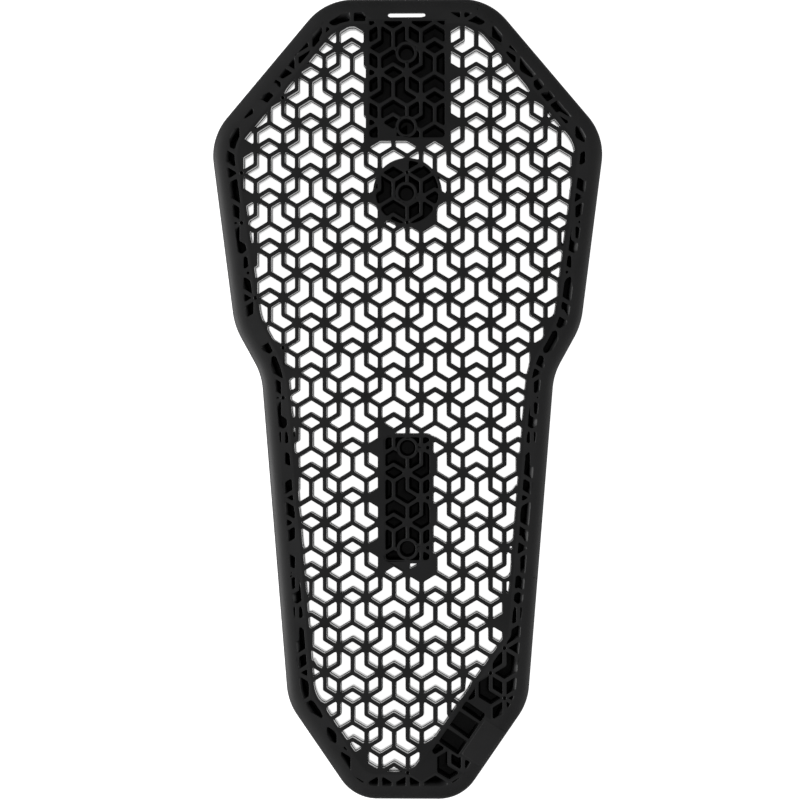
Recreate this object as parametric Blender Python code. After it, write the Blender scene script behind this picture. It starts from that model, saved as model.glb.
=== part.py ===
"""Back protector insert: a moulded elastomer pad with a pierced lattice, lying on its outer face.

+X is the wearer's side, +Y is the neck end, +Z is the inner face that the photograph shows.
"""

import math

import bmesh
import bpy
from mathutils import Matrix, Vector

MM = 0.001

# Whole pad
PAD_LENGTH = 443 * MM
SHOULDER_WIDTH = 218.8 * MM
PAD_THICKNESS = 15 * MM
CORNER_RADIUS = 32.5 * MM
CLEARANCE = 0.3 * MM
ARC_STEPS = 6

# Rim: a flat flange, a sloping skirt behind it and a groove of blind pockets
FLANGE_WIDTH = 7 * MM
FLANGE_THICKNESS = 3 * MM
LIP_WIDTH = 4.5 * MM
SKIRT_RUN = 3.5 * MM
GROOVE_WIDTH = 5.2 * MM
GROOVE_RUN = 2.5 * MM
FLOOR_THICKNESS = 3 * MM

# Core: a wall round the window, and ribs of a three-way lattice across it
WALL_THICKNESS = 3.1 * MM
LATTICE_PITCH = 30.6 * MM
LATTICE_ROW = 27.7 * MM
RIB_WIDTH = 2.6 * MM
LATTICE_RISE = 42.4 * MM
CORNER_DEPTH = 30 * MM

# Panels and hub, each a floor with ribs inside a frame of the core
FRAME_THICKNESS = 2 * MM
TOP_PANEL_WIDTH = 48 * MM
TOP_PANEL_LENGTH = 66.5 * MM
LOWER_PANEL_WIDTH = 29 * MM
LOWER_PANEL_LENGTH = 72 * MM
LOWER_PANEL_RISE = -54.8 * MM
PANEL_RADIUS = 3.3 * MM
HUB_DIAMETER = 37.8 * MM
HUB_GAP = 9.3 * MM

# Ring bosses
BOSS_DIAMETER = 11.6 * MM
BOSS_BORE = 8.7 * MM
TOP_BOSS_SPACING = 41 * MM
HUB_VENT_DIAMETER = 2.4 * MM
HUB_VENT_CIRCLE = 16.5 * MM
HUB_SLOT_LENGTH = 8 * MM
HUB_SLOT_WIDTH = 2.4 * MM
HUB_SLOT_CIRCLE = 23 * MM

# Hanging tab and its slot
TAB_WIDTH = 38 * MM
SLOT_LENGTH = 20.5 * MM
SLOT_WIDTH = 2.3 * MM
SLOT_INSET = 8.8 * MM

# Label pad and ladder of pockets at the lower right
LABEL_WIDTH = 13 * MM
LABEL_LENGTH = 23.5 * MM
LABEL_THICKNESS = 1.2 * MM
LABEL_INSET = 1.2 * MM
LABEL_SHIFT = 32.2 * MM
LADDER_POCKETS = 4
LADDER_START = 20.7 * MM
LADDER_PITCH = 9.2 * MM
LADDER_RIB = 1.5 * MM

FLANGE_INSET = FLANGE_WIDTH
WALL_INSET = FLANGE_WIDTH + GROOVE_WIDTH
WINDOW_INSET = WALL_INSET + WALL_THICKNESS
RIM_INSET = WALL_INSET - CLEARANCE
LADDER_INSET = LABEL_INSET + LABEL_WIDTH + LADDER_RIB
LADDER_WIDTH = CORNER_DEPTH - WALL_THICKNESS - CLEARANCE - LADDER_RIB - LADDER_INSET
OVERCUT = 2 * MM

# Corner, half width by SHOULDER_WIDTH, height by PAD_LENGTH, radius by CORNER_RADIUS.
# The label's edge runs from the hem corner to the bottom one.
OUTLINE = (
    ("top", 0.2065, 1.000, 1.00),
    ("shoulder", 0.5000, 0.828, 1.00),
    ("waist_top", 0.4388, 0.592, 1.25),
    ("waist_bottom", 0.3703, 0.530, 1.07),
    ("hem", 0.3038, 0.121, 1.01),
    ("bottom", 0.1358, 0.000, 0.74),
)

# Vent or slot, angle round the hub in degrees
HUB_VENTS = (("upper", 112), ("left", 197), ("right", 348))
HUB_SLOTS = (("left", 170), ("below", 244), ("upper_right", 40))


def clear_scene():
    for obj in list(bpy.data.objects):
        bpy.data.objects.remove(obj)


def collection(name, hidden=False):
    made = bpy.data.collections.new(name)
    made.hide_render = hidden
    bpy.context.scene.collection.children.link(made)
    return made


def material(name, color, roughness):
    made = bpy.data.materials.new(name)
    made.use_nodes = True
    shader = made.node_tree.nodes["Principled BSDF"]
    shader.inputs["Base Color"].default_value = (*color, 1)
    shader.inputs["Roughness"].default_value = roughness
    shader.inputs["Metallic"].default_value = 0
    return made


def pad_corners():
    """(place, radius) of the sharp corners, clockwise from the neck end's right corner."""
    right = [
        (Vector((half * SHOULDER_WIDTH, (rise - 0.5) * PAD_LENGTH)), radius * CORNER_RADIUS)
        for _, half, rise, radius in OUTLINE
    ]
    left = [(Vector((-place.x, place.y)), radius) for place, radius in reversed(right)]
    return right + left


def label_corner():
    """The place in pad_corners where the label's edge starts."""
    return [name for name, *_ in OUTLINE].index("hem")


def inward(direction):
    return Vector((direction.y, -direction.x))


def inset_outline(inset, corner_inset=None):
    """The outline moved inwards, with another inset on the edge that carries the label."""
    corners = pad_corners()
    count = len(corners)
    insets = [inset] * count
    if corner_inset is not None:
        insets[label_corner()] = corner_inset
    loop = []
    for index, (place, radius) in enumerate(corners):
        arriving = (place - corners[index - 1][0]).normalized()
        leaving = (corners[(index + 1) % count][0] - place).normalized()
        first, second = inward(arriving), inward(leaving)
        before, after = insets[index - 1], insets[index]
        spread = first.x * second.y - first.y * second.x
        moved = place + Vector(
            (before * second.y - after * first.y, after * first.x - before * second.x)
        ) / spread
        convex = arriving.x * leaving.y - arriving.y * leaving.x < 0
        reach = radius - max(before, after) if convex else radius + inset
        loop += rounded_corner(moved, arriving, leaving, max(reach, CLEARANCE))
    return loop


def rounded_corner(place, arriving, leaving, radius):
    """Points of the arc of this radius that touches both edges of a corner."""
    turn = math.atan2(
        arriving.x * leaving.y - arriving.y * leaving.x, arriving.dot(leaving)
    )
    start = place - arriving * radius * math.tan(abs(turn) / 2)
    side = math.copysign(1, turn)
    centre = start + Vector((-arriving.y, arriving.x)) * side * radius
    spoke = start - centre
    return [
        centre + Matrix.Rotation(turn * step / ARC_STEPS, 2) @ spoke
        for step in range(ARC_STEPS + 1)
    ]


def rounded_rectangle(width, length, radius, centre):
    corners = [
        centre + Vector((x * width / 2, y * length / 2))
        for x, y in ((1, 1), (1, -1), (-1, -1), (-1, 1))
    ]
    loop = []
    for index, place in enumerate(corners):
        arriving = (place - corners[index - 1]).normalized()
        leaving = (corners[(index + 1) % 4] - place).normalized()
        loop += rounded_corner(place, arriving, leaving, radius)
    return loop


def circle(diameter, centre, sides=32):
    return [
        centre + Matrix.Rotation(-2 * math.pi * step / sides, 2) @ Vector((diameter / 2, 0))
        for step in range(sides)
    ]


def slot_outline(length, width, centre, angle=0.0):
    """A slot with round ends, its length turned by the angle from +X."""
    turned = Matrix.Rotation(angle, 2)
    flat = rounded_rectangle(length, width, width / 2 - CLEARANCE / 10, Vector((0, 0)))
    return [centre + turned @ point for point in flat]


def prism(name, loops, bottom, top, target):
    """A solid between two heights, from flat closed loops: filled where a loop isn't inside another."""
    curve = bpy.data.curves.new(name, "CURVE")
    curve.dimensions = "2D"
    curve.fill_mode = "BOTH"
    curve.extrude = (top - bottom) / 2
    for loop in loops:
        spline = curve.splines.new("POLY")
        spline.points.add(len(loop) - 1)
        for point, place in zip(spline.points, loop):
            point.co = (place.x, place.y, 0, 1)
        spline.use_cyclic_u = True
    drawn = bpy.data.objects.new(name + "_outline", curve)
    target.objects.link(drawn)
    graph = bpy.context.evaluated_depsgraph_get()
    mesh = bpy.data.meshes.new_from_object(drawn.evaluated_get(graph))
    bpy.data.objects.remove(drawn)
    shape = bmesh.new()
    shape.from_mesh(mesh)
    bmesh.ops.remove_doubles(shape, verts=shape.verts, dist=CLEARANCE / 100)
    bmesh.ops.translate(shape, verts=shape.verts, vec=(0, 0, (bottom + top) / 2))
    bmesh.ops.recalc_face_normals(shape, faces=shape.faces)
    shape.to_mesh(mesh)
    shape.free()
    return place_object(name, mesh, target)


def ring_loft(name, profile, target):
    """A closed band that follows the outline: each profile point is an inset and a height."""
    mesh = bpy.data.meshes.new(name)
    shape = bmesh.new()
    rings = [
        [shape.verts.new((point.x, point.y, height)) for point in inset_outline(inset)]
        for inset, height in profile
    ]
    for ring, following in zip(rings, rings[1:] + rings[:1]):
        for index in range(len(ring)):
            shape.faces.new((ring[index - 1], ring[index], following[index], following[index - 1]))
    bmesh.ops.recalc_face_normals(shape, faces=shape.faces)
    shape.to_mesh(mesh)
    shape.free()
    return place_object(name, mesh, target)


def place_object(name, mesh, target):
    obj = bpy.data.objects.new(name, mesh)
    target.objects.link(obj)
    if target.hide_render:
        obj.hide_render = True
        obj.display_type = "WIRE"
    return obj


def combine(body, operation, tools):
    for tool in tools:
        modifier = body.modifiers.new(f"{operation} {tool.name}", "BOOLEAN")
        modifier.operation = operation
        modifier.solver = "EXACT"
        modifier.object = tool


def finish(body, look):
    body.data.materials.clear()
    body.data.materials.append(look)


def lattice_site(column, row):
    """A hub of the lattice: columns are half a pitch apart, and rows run down the pad."""
    return Vector((column * LATTICE_PITCH / 2, LATTICE_RISE - row * LATTICE_ROW))


def three_way(column, row):
    """True for the hubs with three ribs; the others have six."""
    return (column - 3 * row - 2) % 6 == 0


def rib_end(site, turn):
    """The far end of the rib that leaves a hub upwards, turned anticlockwise in sixths."""
    lengths = (
        (0, 2 / 3), (-1 / 2, 1 / 3), (-1 / 2, -1 / 3),
        (0, -2 / 3), (1 / 2, -1 / 3), (1 / 2, 1 / 3),
    )
    across, along = lengths[turn % 6]
    return site + Vector((across * LATTICE_PITCH, along * LATTICE_ROW))


def neighbour(column, row, turn):
    """(column, row) of the hub between rib ends turn and turn + 1."""
    steps = ((-1, -1), (-2, 0), (-1, 1), (1, 1), (2, 0), (1, -1))
    across, down = steps[turn % 6]
    return column + across, row + down


def lattice_cells():
    """The ideal cells: an arrow for each rib that a three-way hub lacks, and diamonds between."""
    columns = round(SHOULDER_WIDTH / LATTICE_PITCH) + 2
    rows = round(PAD_LENGTH / LATTICE_ROW) + 2
    cells = []
    for row in range(-rows, rows + 1):
        for column in range(-columns, columns + 1):
            if (column + row) % 2:
                continue
            site = lattice_site(column, row)
            if three_way(column, row):
                for turn in (1, 3, 5):
                    before = lattice_site(*neighbour(column, row, turn - 1))
                    after = lattice_site(*neighbour(column, row, turn))
                    cells.append([
                        site, rib_end(site, turn - 1), before,
                        rib_end(site, turn), after, rib_end(site, turn + 1),
                    ])
                continue
            for turn in (0, 4, 5):
                other = neighbour(column, row, turn)
                if not three_way(*other):
                    cells.append([
                        site, rib_end(site, turn), lattice_site(*other), rib_end(site, turn + 1),
                    ])
    return cells


def gap_of(cell):
    """The opening of a cell: each side moved inwards by half a rib."""
    gap = []
    middle = sum(cell, Vector((0, 0))) / len(cell)
    area = sum(
        (a - middle).cross(b - middle) for a, b in zip(cell, cell[1:] + cell[:1])
    )
    ordered = cell if area < 0 else cell[::-1]
    for index, place in enumerate(ordered):
        first = inward((place - ordered[index - 1]).normalized())
        second = inward((ordered[(index + 1) % len(ordered)] - place).normalized())
        gap.append(place + (first + second) * (RIB_WIDTH / 2) / (1 + first.dot(second)))
    return gap


def inside(point, loop):
    crossings = 0
    for a, b in zip(loop, loop[1:] + loop[:1]):
        if (a.y > point.y) != (b.y > point.y):
            crossings += point.x < a.x + (point.y - a.y) * (b.x - a.x) / (b.y - a.y)
    return crossings % 2 == 1


def gaps_in(loop, outside_of=(), share=0.0):
    """The gaps with at least this share of their edge in a loop and off the other loops."""
    found = []
    for cell in lattice_cells():
        gap = gap_of(cell)
        samples = gap + [(a + b) / 2 for a, b in zip(gap, gap[1:] + gap[:1])]
        within = [
            inside(point, loop) and not any(inside(point, other) for other in outside_of)
            for point in samples
        ]
        if sum(within) >= share * len(samples):
            found.append(gap)
    return found


def top_panel_centre():
    return Vector((0, PAD_LENGTH / 2 - WALL_INSET - TOP_PANEL_LENGTH / 2))


def lower_panel_centre():
    return Vector((0, LOWER_PANEL_RISE))


def hub_centre():
    """The hub's middle, a named gap below the top panel."""
    return top_panel_centre() - Vector((0, TOP_PANEL_LENGTH / 2 + HUB_GAP + HUB_DIAMETER / 2))


def panel_loops(width, length, centre, margin=0.0):
    """A panel's frame on its outer side, and the hole or floor that lies inside it."""
    outer = rounded_rectangle(width, length, PANEL_RADIUS, centre)
    hole = FRAME_THICKNESS + margin
    inner = rounded_rectangle(width - 2 * hole, length - 2 * hole, PANEL_RADIUS / 2, centre)
    return outer, inner


def hub_loops(margin=0.0):
    outer = circle(HUB_DIAMETER, hub_centre(), 48)
    inner = circle(HUB_DIAMETER - 2 * FRAME_THICKNESS - 2 * margin, hub_centre(), 48)
    return outer, inner


def framed_places(margin=0.0):
    """(name, outer loop, inner loop) of the three framed places in the lattice."""
    top = panel_loops(TOP_PANEL_WIDTH, TOP_PANEL_LENGTH, top_panel_centre(), margin)
    lower = panel_loops(LOWER_PANEL_WIDTH, LOWER_PANEL_LENGTH, lower_panel_centre(), margin)
    return (("top_panel", *top), ("lower_panel", *lower), ("hub_plate", *hub_loops(margin)))


def boss_places():
    """(name, centre, floor's node) of the ring bosses: three of them stand against a frame."""
    reach = FRAME_THICKNESS + 2 * CLEARANCE + BOSS_DIAMETER / 2
    top_end = top_panel_centre() - Vector((0, TOP_PANEL_LENGTH / 2 - reach))
    half_run = Vector((0, LOWER_PANEL_LENGTH / 2 - reach))
    return (
        ("top_boss_upper", top_end + Vector((0, TOP_BOSS_SPACING)), "top_panel"),
        ("top_boss_lower", top_end, "top_panel"),
        ("lower_boss_upper", lower_panel_centre() + half_run, "lower_panel"),
        ("lower_boss_lower", lower_panel_centre() - half_run, "lower_panel"),
        ("hub_ring", hub_centre(), "hub_plate"),
    )


def label_frame():
    """Where the label's edge starts, the way along it towards the bottom, and the way inwards."""
    first = label_corner()
    start, end = (place for place, _ in pad_corners()[first:first + 2])
    along = (end - start).normalized()
    return start, along, inward(along)


def label_place(shift, inset):
    start, along, across = label_frame()
    return start + along * shift + across * inset


def turned_box(shift, inset, length, width, grow=0.0):
    """A rectangle beside the label's edge: its middle along the edge, and its nearer inset."""
    _, along, across = label_frame()
    centre = label_place(shift, inset + width / 2)
    half_length, half_width = along * (length / 2 + grow), across * (width / 2 + grow)
    return [
        centre + half_length + half_width, centre + half_length - half_width,
        centre - half_length - half_width, centre - half_length + half_width,
    ]


def ladder_boxes():
    """The ladder's pockets, behind the label and a rib clear of the core's side."""
    length = LADDER_PITCH - LADDER_RIB
    return [
        turned_box(LADDER_START + LADDER_PITCH * index, LADDER_INSET, length, LADDER_WIDTH)
        for index in range(LADDER_POCKETS)
    ]


def build_rim(parts, tools, seat, look):
    """Flange, skirt and groove floor in one band, with the groove's pockets between webs."""
    low = PAD_THICKNESS - FLANGE_THICKNESS
    rim = ring_loft("rim", (
        (0, low), (0, PAD_THICKNESS), (RIM_INSET, PAD_THICKNESS), (RIM_INSET, 0),
        (LIP_WIDTH + SKIRT_RUN, 0), (LIP_WIDTH, low),
    ), parts)
    over = PAD_THICKNESS + OVERCUT
    groove = ring_loft("groove_pockets", (
        (FLANGE_INSET, over), (WALL_INSET, over),
        (WALL_INSET, FLOOR_THICKNESS), (FLANGE_INSET + GROOVE_RUN, FLOOR_THICKNESS),
    ), tools)
    label_zone = turned_box(
        LABEL_SHIFT, LABEL_INSET, LABEL_LENGTH, LABEL_WIDTH, grow=LADDER_RIB
    )
    tab_zone = tab_loop(grow=CLEARANCE)
    gaps = gaps_in(inset_outline(FLANGE_INSET), [inset_outline(WINDOW_INSET)], share=0.1)
    cells = prism("groove_cells", gaps, 0, over, tools)
    combine(groove, "INTERSECT", [cells])
    label_keep = prism("label_keep", [label_zone], -OVERCUT, over + OVERCUT, tools)
    combine(groove, "DIFFERENCE", [label_keep])
    tab_notch = prism("tab_notch", [tab_zone], -OVERCUT, over, tools)
    combine(rim, "DIFFERENCE", [groove, tab_notch, seat])
    finish(rim, look)


def tab_loop(grow=0.0):
    """The hanging tab: a strip between the flange and the core's wall."""
    top = PAD_LENGTH / 2 - FLANGE_INSET - CLEARANCE + grow
    bottom = PAD_LENGTH / 2 - RIM_INSET - (OVERCUT if grow else 0)
    half = TAB_WIDTH / 2 + grow
    return [
        Vector((-half, top)), Vector((half, top)), Vector((half, bottom)), Vector((-half, bottom)),
    ]


def build_tab(parts, tools, look):
    tab = prism(
        "hanger_tab", [tab_loop()], PAD_THICKNESS - FLANGE_THICKNESS, PAD_THICKNESS, parts
    )
    centre = Vector((0, PAD_LENGTH / 2 - SLOT_INSET - SLOT_WIDTH / 2))
    slot = prism(
        "hanger_slot", [slot_outline(SLOT_LENGTH, SLOT_WIDTH, centre)], 0,
        PAD_THICKNESS + OVERCUT, tools,
    )
    combine(tab, "DIFFERENCE", [slot])
    finish(tab, look)


def build_core(parts, tools, look):
    """The window's wall, the lattice ribs and the frames round the panels and the hub."""
    core = prism(
        "lattice_core",
        [inset_outline(WALL_INSET, CORNER_DEPTH - WALL_THICKNESS)], 0, PAD_THICKNESS, parts,
    )
    window_loop = inset_outline(WINDOW_INSET, CORNER_DEPTH)
    frames = framed_places()
    gaps = gaps_in(window_loop, [outer for _, outer, _ in frames], share=0.5)
    cells = prism("lattice_gaps", gaps, -OVERCUT, PAD_THICKNESS + OVERCUT, tools)
    window = prism("window", [window_loop], -2 * OVERCUT, PAD_THICKNESS + 2 * OVERCUT, tools)
    combine(cells, "INTERSECT", [window])
    for name, outer, inner in frames:
        keep = prism(name + "_keep", [outer], -2 * OVERCUT, PAD_THICKNESS + 2 * OVERCUT, tools)
        combine(cells, "DIFFERENCE", [keep])
        hole = prism(name + "_hole", [inner], -OVERCUT, PAD_THICKNESS + OVERCUT, tools)
        combine(core, "DIFFERENCE", [hole])
    combine(core, "DIFFERENCE", [cells])
    finish(core, look)


def build_framed(parts, tools, look):
    """Floors with upstanding ribs, each inside its frame, cleared round the bosses."""
    for name, _, inner in framed_places(CLEARANCE):
        plate = prism(name, [inner], 0, PAD_THICKNESS, parts)
        shallow = gaps_in(inner, share=0.2)
        pockets = prism(
            name + "_pockets", shallow, FLOOR_THICKNESS, PAD_THICKNESS + OVERCUT, tools
        )
        combine(plate, "DIFFERENCE", [pockets])
        for boss, centre, floor in boss_places():
            if floor == name:
                seat = prism(
                    boss + "_seat", [circle(BOSS_DIAMETER + 2 * CLEARANCE, centre)],
                    FLOOR_THICKNESS, PAD_THICKNESS + OVERCUT, tools,
                )
                combine(plate, "DIFFERENCE", [seat])
        finish(plate, look)


def cut_hub(tools):
    """Vents and slots through the hub's floor."""
    holes = []
    for _, degrees in HUB_VENTS:
        spoke = Matrix.Rotation(math.radians(degrees), 2) @ Vector((HUB_VENT_CIRCLE / 2, 0))
        holes.append(circle(HUB_VENT_DIAMETER, hub_centre() + spoke, 12))
    for _, degrees in HUB_SLOTS:
        angle = math.radians(degrees)
        spoke = Matrix.Rotation(angle, 2) @ Vector((HUB_SLOT_CIRCLE / 2, 0))
        holes.append(slot_outline(
            HUB_SLOT_LENGTH, HUB_SLOT_WIDTH, hub_centre() + spoke, angle + math.pi / 2
        ))
    cutter = prism("hub_openings", holes, -OVERCUT, PAD_THICKNESS + OVERCUT, tools)
    combine(bpy.data.objects["hub_plate"], "DIFFERENCE", [cutter])


def build_bosses(parts, look):
    for name, centre, _ in boss_places():
        ring = prism(
            name, [circle(BOSS_DIAMETER, centre), circle(BOSS_BORE, centre)],
            FLOOR_THICKNESS + CLEARANCE, PAD_THICKNESS, parts,
        )
        finish(ring, look)


def label_seat(tools):
    """The recess that the label pad sits in, across the flange and the corner panel."""
    loop = turned_box(LABEL_SHIFT, LABEL_INSET, LABEL_LENGTH, LABEL_WIDTH, grow=CLEARANCE)
    floor = PAD_THICKNESS - LABEL_THICKNESS - CLEARANCE
    return prism("label_seat", [loop], floor, PAD_THICKNESS + OVERCUT, tools)


def build_corner(parts, tools, seat, look):
    """The blind panel at the lower right: its floor, a ladder of pockets and a few lattice ones."""
    panel = prism("corner_panel", [inset_outline(WALL_INSET)], 0, PAD_THICKNESS, parts)
    core_side = inset_outline(GROOVE_WIDTH, CORNER_DEPTH - WALL_THICKNESS - CLEARANCE)
    core_keep = prism("core_keep", [core_side], -OVERCUT, PAD_THICKNESS + OVERCUT, tools)
    combine(panel, "DIFFERENCE", [core_keep])
    ladder = prism(
        "ladder_pockets", ladder_boxes(), FLOOR_THICKNESS, PAD_THICKNESS + OVERCUT, tools
    )
    combine(panel, "DIFFERENCE", [ladder, seat])
    finish(panel, look)


def build_label(parts, look):
    label = prism(
        "label_pad", [turned_box(LABEL_SHIFT, LABEL_INSET, LABEL_LENGTH, LABEL_WIDTH)],
        PAD_THICKNESS - LABEL_THICKNESS, PAD_THICKNESS, parts,
    )
    finish(label, look)


def main():
    clear_scene()
    parts = collection("back_protector_insert")
    tools = collection("cutters", hidden=True)
    black = (0.012, 0.012, 0.013)
    seat = label_seat(tools)
    build_rim(parts, tools, seat, material("rim_elastomer", black, 0.62))
    build_tab(parts, tools, material("tab_elastomer", black, 0.55))
    build_core(parts, tools, material("core_elastomer", (0.018, 0.018, 0.019), 0.5))
    build_framed(parts, tools, material("panel_elastomer", (0.010, 0.010, 0.011), 0.55))
    cut_hub(tools)
    build_bosses(parts, material("boss_elastomer", black, 0.45))
    build_corner(parts, tools, seat, material("corner_elastomer", black, 0.58))
    build_label(parts, material("label_elastomer", (0.014, 0.014, 0.015), 0.66))


main()
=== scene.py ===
"""Looks of a back protector insert: a moulded elastomer pad with a pierced lattice, seen from its inner face.

+X is the wearer's side, +Y the neck end and +Z the inner face. Lengths are metres.
"""

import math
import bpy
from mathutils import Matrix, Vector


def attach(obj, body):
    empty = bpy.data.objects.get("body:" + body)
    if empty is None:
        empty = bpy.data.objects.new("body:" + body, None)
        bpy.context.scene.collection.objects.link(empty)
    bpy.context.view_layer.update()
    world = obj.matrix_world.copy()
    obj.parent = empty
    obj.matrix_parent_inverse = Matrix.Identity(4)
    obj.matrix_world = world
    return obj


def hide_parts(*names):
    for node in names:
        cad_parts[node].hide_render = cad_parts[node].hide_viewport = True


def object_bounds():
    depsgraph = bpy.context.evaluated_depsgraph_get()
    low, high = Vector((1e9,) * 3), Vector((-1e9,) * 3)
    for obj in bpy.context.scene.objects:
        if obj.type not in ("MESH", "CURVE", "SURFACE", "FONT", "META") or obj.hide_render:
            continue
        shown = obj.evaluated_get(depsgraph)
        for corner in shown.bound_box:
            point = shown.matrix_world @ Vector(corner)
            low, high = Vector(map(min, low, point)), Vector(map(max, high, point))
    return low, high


bl_info = {
    "name": "Back Protector Insert",
    "version": (1, 0, 0),
    "blender": (4, 5, 0),
    "location": "View3D > Sidebar > Pad",
    "description": "Builds a moulded back protector insert and a plain stage for it",
    "category": "Add Mesh",
}

import bpy
import numpy as np
from bpy.props import FloatProperty, FloatVectorProperty, PointerProperty
from bpy.types import Operator, Panel, PropertyGroup
from mathutils import Vector
from mathutils.geometry import delaunay_2d_cdt

MM = 0.001
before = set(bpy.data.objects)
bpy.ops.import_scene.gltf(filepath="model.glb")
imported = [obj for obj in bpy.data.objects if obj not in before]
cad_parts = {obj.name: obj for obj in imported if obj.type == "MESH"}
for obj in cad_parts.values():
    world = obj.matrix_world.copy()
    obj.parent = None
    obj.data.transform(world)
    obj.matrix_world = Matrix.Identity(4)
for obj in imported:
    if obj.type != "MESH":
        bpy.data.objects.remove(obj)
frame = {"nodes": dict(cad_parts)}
CAD_LOW, CAD_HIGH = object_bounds()


# Sizes and colours that a user would change

def size(name, description, default):
    return FloatProperty(name=name, description=description, default=default, unit="LENGTH", min=0)


def colour(name, description, default):
    return FloatVectorProperty(
        name=name, description=description, default=default, subtype="COLOR", min=0, max=1
    )


class PadSizes(PropertyGroup):
    """The whole pad and its rim."""

    length: size("Length", "From the neck end to the hem", CAD_HIGH.y - CAD_LOW.y)
    shoulder: size("Shoulder width", "Between the shoulders' sharp corners", 218.8 * MM)
    thickness: size("Thickness", "From the outer face to the inner one", CAD_HIGH.z - CAD_LOW.z)
    corner: size("Corner radius", "Of the shoulder's corners", 32.4 * MM)
    flange: size("Flange width", "Flat band round the edge", 7 * MM)
    flange_thickness: size("Flange thickness", "Of the band's free edge", 3 * MM)
    lip: size("Lip", "Run of the flange that stands clear of the skirt", 4.5 * MM)
    skirt_run: size("Skirt run", "How far the skirt slopes inwards", 3.5 * MM)
    groove_run: size("Groove run", "How far the groove's outer wall curves inwards", 3.4 * MM)
    floor: size("Floor thickness", "Of the blind pockets", 3 * MM)


class LatticeSizes(PropertyGroup):
    """The ribs across the pad."""

    pitch: size("Pitch", "Between hubs across the pad", 15.3 * MM)
    row: size("Row", "Between rows of hubs", 13.845 * MM)
    rise: size("Rise", "Height of the first row of hubs", 42.4 * MM)
    rib: size("Rib width", "Front face of a rib", 2.15 * MM)
    wall: size("Wall width", "Solid band round the window", 3.0 * MM)
    wall_inset: size("Wall inset", "From the pad's edge to the middle of the wall", 13.75 * MM)
    corner_inset: size("Corner inset", "The same, at the corner with the label", 30.0 * MM)
    draft: size("Draft", "How much a gap narrows to the parting line", 0.06 * MM)
    parting: size("Parting line", "Its height above the outer face", 9 * MM)
    ledge: size("Ledge", "Step in a gap's wall at the parting line", 0.24 * MM)
    fillet: size("Fillet", "Radius in a gap's corners", 0.75 * MM)


class PanelSizes(PropertyGroup):
    """The framed places in the lattice."""

    frame: size("Frame width", "Front face of a frame", 2.1 * MM)
    top_width: size("Top panel width", "Between the frame's middles", 43.6 * MM)
    top_end: size("Top panel end", "Height of the frame's lower side", 143.9 * MM)
    lower_width: size("Lower panel width", "Between the frame's middles", 26.3 * MM)
    lower_top: size("Lower panel top", "Height of the frame's upper side, below the middle", 20.2 * MM)
    lower_end: size("Lower panel end", "Height of the frame's lower side, below the middle", 89.9 * MM)
    radius: size("Frame radius", "Of a frame's corners", 2.6 * MM)
    trim: size("Rib trim", "How much a blind pocket is wider than a gap, on each side", 0.17 * MM)
    hub_rise: size("Hub rise", "Height of the hub's middle", 114.6 * MM)
    hub_radius: size("Hub radius", "To the middle of its ring", 18.1 * MM)
    boss_radius: size("Boss radius", "Outside of a ring boss", 6.0 * MM)
    boss_bore: size("Boss bore radius", "Inside of a ring boss", 4.4 * MM)


class Finishes(PropertyGroup):
    """Colours of the elastomer."""

    rim: colour("Rim", "Flange and skirt", (0.010, 0.010, 0.0105))
    core: colour("Core", "Lattice ribs", (0.010, 0.010, 0.0105))
    panel: colour("Panel", "Floors and pockets", (0.007, 0.007, 0.0075))
    floor: colour("Stage", "The floor of the stage", (0.92, 0.92, 0.92))


# Plane geometry, as whole arrays

def unit(vectors):
    return vectors / np.linalg.norm(vectors, axis=-1, keepdims=True)


def left_of(vectors):
    """The vectors turned a quarter to the left."""
    return np.stack([-vectors[..., 1], vectors[..., 0]], -1)


def cross(a, b):
    return a[..., 0] * b[..., 1] - a[..., 1] * b[..., 0]


def dot(a, b):
    return (a * b).sum(-1)


def turned(vectors, angle):
    """The vectors turned by an angle: cos times the vector plus sin times its left."""
    return vectors * np.cos(angle)[..., None] + left_of(vectors) * np.sin(angle)[..., None]


def rounded_path(corners, radii, step):
    """A closed path anticlockwise: straight runs that meet in arcs, with points up to a step apart."""
    corners, radii = np.asarray(corners, float), np.broadcast_to(radii, len(corners))
    arriving = unit(corners - np.roll(corners, 1, 0))
    leaving = unit(np.roll(corners, -1, 0) - corners)
    turn = np.arctan2(cross(arriving, leaving), dot(arriving, leaving))
    starts = corners - arriving * (radii * np.tan(abs(turn) / 2))[:, None]
    centres = starts + left_of(arriving) * (np.sign(turn) * radii)[:, None]
    pieces = []
    for index, centre in enumerate(centres):
        count = max(2, math.ceil(radii[index] * abs(turn[index]) / step))
        angles = turn[index] * np.arange(count + 1) / count
        arc = centre + turned(starts[index] - centre, angles)
        run = starts[(index + 1) % len(corners)] - arc[-1]
        parts = max(1, math.ceil(np.linalg.norm(run) / step))
        pieces += [arc, arc[-1] + run * (np.arange(1, parts) / parts)[:, None]]
    return np.concatenate(pieces)


def sided_path(corners, step):
    """A closed path along straight sides, with points up to a step apart and one on each corner."""
    runs = np.roll(corners, -1, 0) - corners
    counts = np.ceil(np.linalg.norm(runs, axis=1) / step).astype(int)
    return np.concatenate([
        corner + run * (np.arange(count) / count)[:, None] for corner, run, count in zip(corners, runs, counts)
    ])


def circle_path(centre, radius, count):
    """Points round a circle, anticlockwise."""
    angles = 2 * math.pi * np.arange(count) / count
    return np.asarray(centre) + radius * np.stack([np.cos(angles), np.sin(angles)], 1)


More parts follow.
